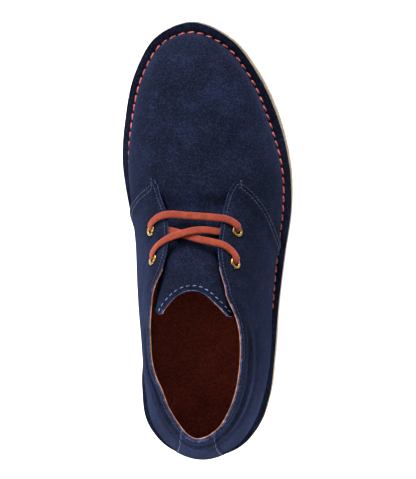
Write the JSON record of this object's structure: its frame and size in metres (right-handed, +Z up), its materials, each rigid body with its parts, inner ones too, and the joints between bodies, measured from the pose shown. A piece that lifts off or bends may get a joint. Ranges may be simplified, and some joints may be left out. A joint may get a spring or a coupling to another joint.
{
  "type": "chukka boot",
  "caption": "Low ankle boot with a turned-out stitched-down suede upper, laced throat, curved tongue, insole, midsole and crepe sole with a separate heel; stands on its sole.",
  "frame": {"origin": "middle of the boot's box in plan, on the floor", "axes": "+Y towards the toe, +X towards the outside of the foot, +Z up"},
  "size_m": [0.1156, 0.296, 0.1139],
  "materials": {
    "suede": "napped navy suede",
    "lining_leather": "smooth dark brown lining leather",
    "insole_suede": "brushed dark brown leather",
    "midsole_board": "tan midsole with a cut edge",
    "crepe": "pale tan crepe rubber",
    "eyelet_brass": "polished brass",
    "lace_cord": "flat woven rust lace"
  },
  "bodies": {
    "root": {"outsole": "crepe", "heel": "crepe", "midsole": "midsole_board", "insole": "insole_suede", "upper": "suede", "tongue": "suede", "lace_bar": "lace_cord", "lace_crossing": "lace_cord", "eyelet_outside_lower": "eyelet_brass", "eyelet_outside_upper": "eyelet_brass", "eyelet_inside_lower": "eyelet_brass", "eyelet_inside_upper": "eyelet_brass"}
  },
  "joints": []
}
